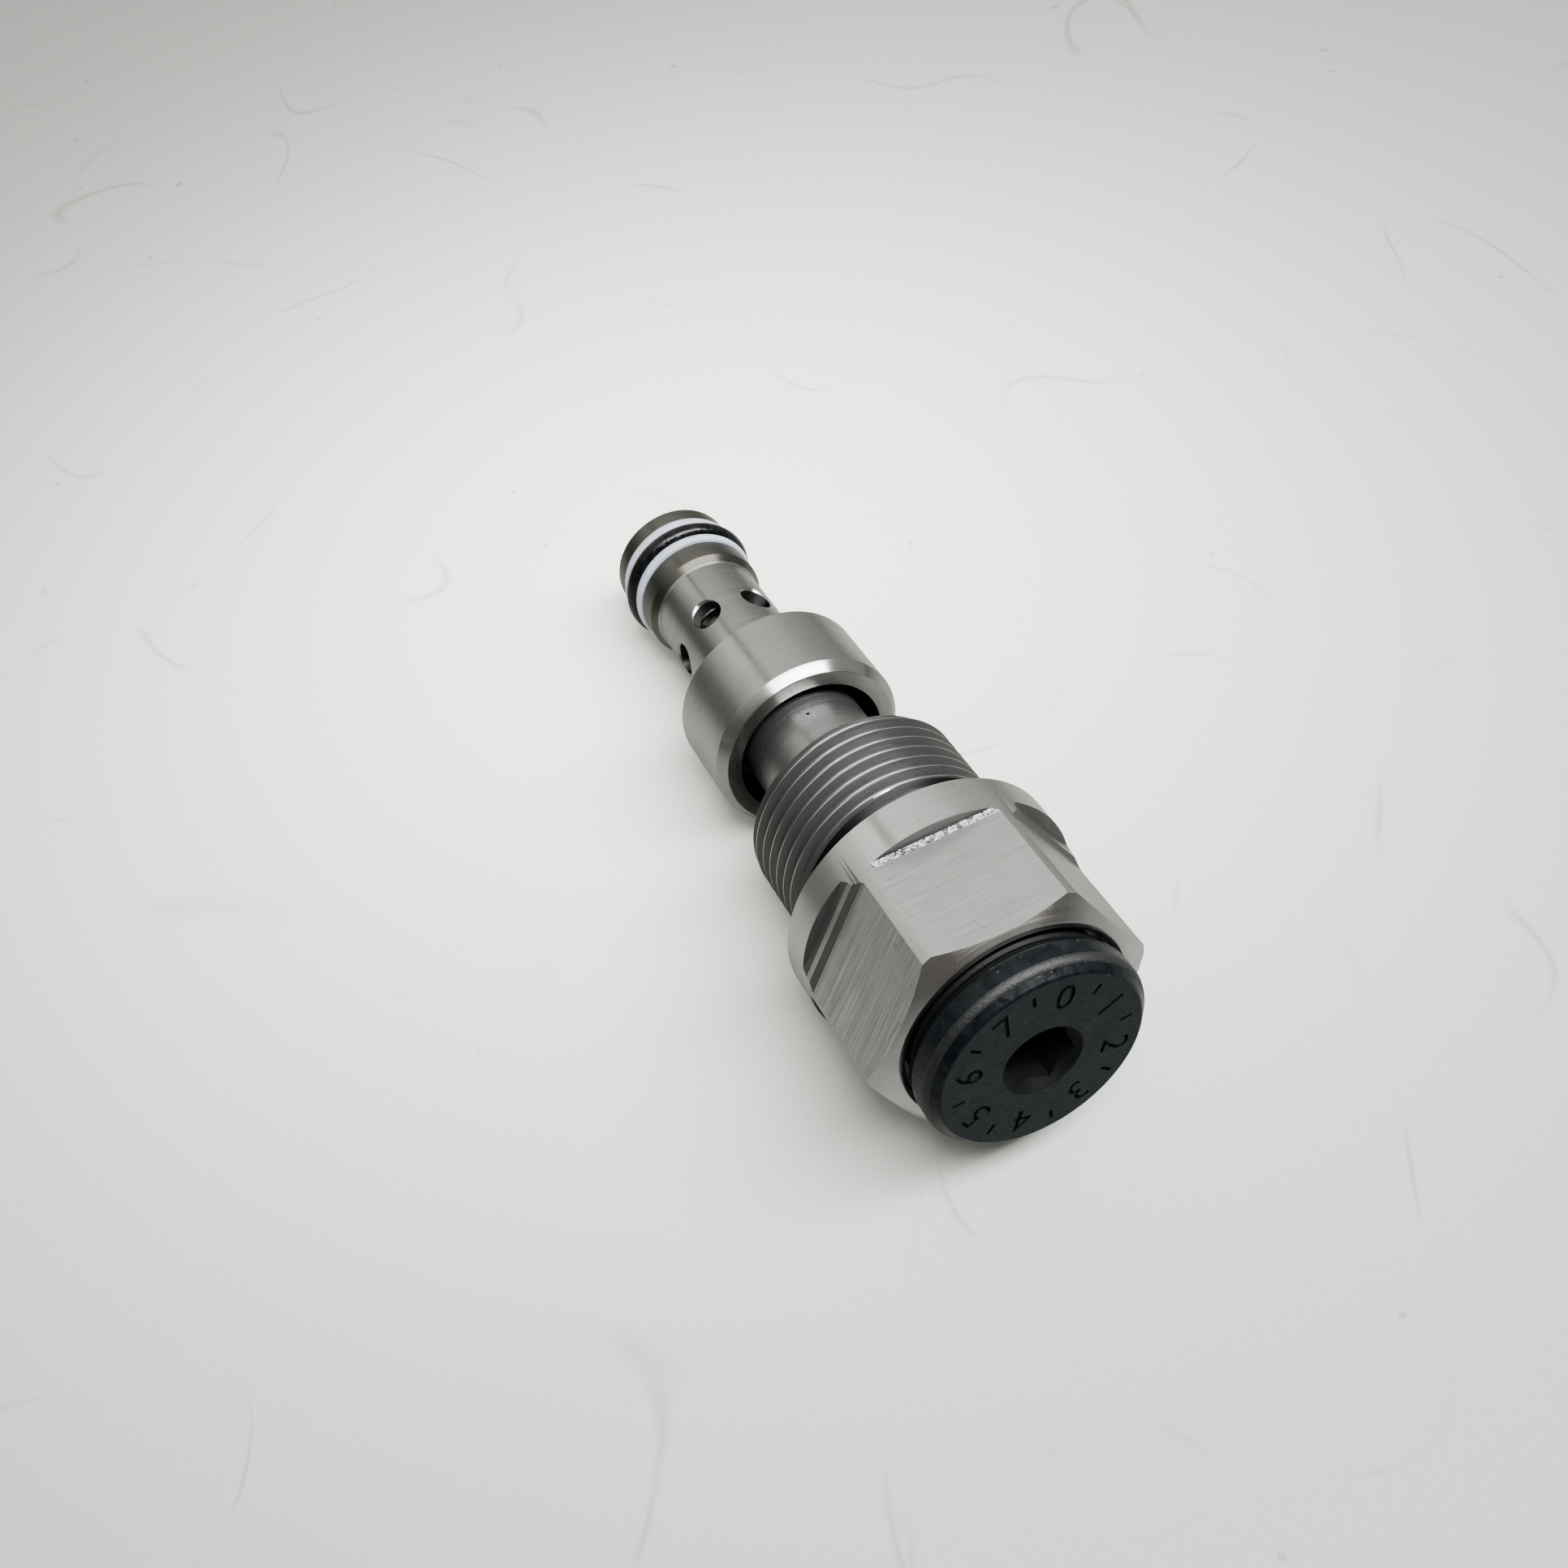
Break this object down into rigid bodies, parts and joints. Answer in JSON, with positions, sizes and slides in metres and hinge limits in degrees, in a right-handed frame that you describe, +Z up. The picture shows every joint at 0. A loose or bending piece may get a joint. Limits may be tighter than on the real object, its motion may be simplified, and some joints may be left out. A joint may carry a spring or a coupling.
{
  "type": "screw-in cartridge valve",
  "caption": "Screw-in hydraulic cartridge valve: hexagon head with mounting thread, ported nose cage with seals, recessed collar and black socket adjuster.",
  "frame": {"origin": "on the valve's axis, half-way between the nose end and the adjuster's face", "axes": "+X along the valve's axis, from the nose inlet to the adjuster; +Z up, normal to one of the hexagon's flats; the valve is stored lying down"},
  "size_m": [0.0814, 0.0272, 0.0272],
  "materials": {
    "zinc_steel": "satin turned and milled steel with a clear zinc plate",
    "turned_steel": "satin turned steel, olive grey on the seal lands",
    "hardened_steel": "ground hardened steel",
    "spring_steel": "oiled spring wire",
    "ball_steel": "polished bearing ball",
    "orifice_brass": "turned brass",
    "black_head": "matte black moulded head",
    "seal_rubber": "oiled black nitrile",
    "backup_ptfe": "cool white PTFE"
  },
  "bodies": {
    "valve_body": {"hex_body": "zinc_steel", "nose_cage": "turned_steel", "nose_backup_front": "backup_ptfe", "nose_o_ring": "seal_rubber", "nose_backup_rear": "backup_ptfe", "port_o_ring": "seal_rubber", "seat_insert": "hardened_steel", "pilot_seat": "hardened_steel", "spigot_o_ring": "seal_rubber", "cage_retaining_ring": "spring_steel", "adjuster_retaining_ring": "spring_steel", "poppet_spring": "spring_steel", "adjusting_spring": "spring_steel"},
    "poppet": {"poppet": "hardened_steel", "orifice_plug": "orifice_brass"},
    "pilot": {"pilot_cone": "hardened_steel", "front_spring_seat": "hardened_steel"},
    "plunger": {"rear_spring_seat": "hardened_steel", "plunger_o_ring": "seal_rubber", "plunger_backup_ring": "backup_ptfe", "thrust_ball": "ball_steel"},
    "adjuster": {"adjusting_screw": "black_head"}
  },
  "joints": [
    {"name": "poppet_lift", "type": "slide", "parent": "valve_body", "child": "poppet", "axis": [1, 0, 0], "range_m": [0, 0.0024], "stiffness_N_per_m": 1050, "springref_m": -0.003, "deforming": ["poppet_spring"]},
    {"name": "pilot_lift", "type": "slide", "parent": "valve_body", "child": "pilot", "axis": [1, 0, 0], "range_m": [0, 0.0008], "stiffness_N_per_m": 8700, "springref_m": -0.002, "deforming": ["adjusting_spring"]},
    {"name": "plunger_slide", "type": "slide", "parent": "valve_body", "child": "plunger", "axis": [1, 0, 0], "range_m": [-0.00075, 0.003], "deforming": ["adjusting_spring"]},
    {"name": "adjuster_turn", "type": "hinge", "parent": "plunger", "child": "adjuster", "pos_m": [0.0407, 0, 0], "axis": [1, 0, 0], "range_deg": [-180, 720]}
  ],
  "couplings": [
    {"joint": "adjuster_turn", "follows": "plunger_slide", "rad_per_m": 4188.8}
  ]
}
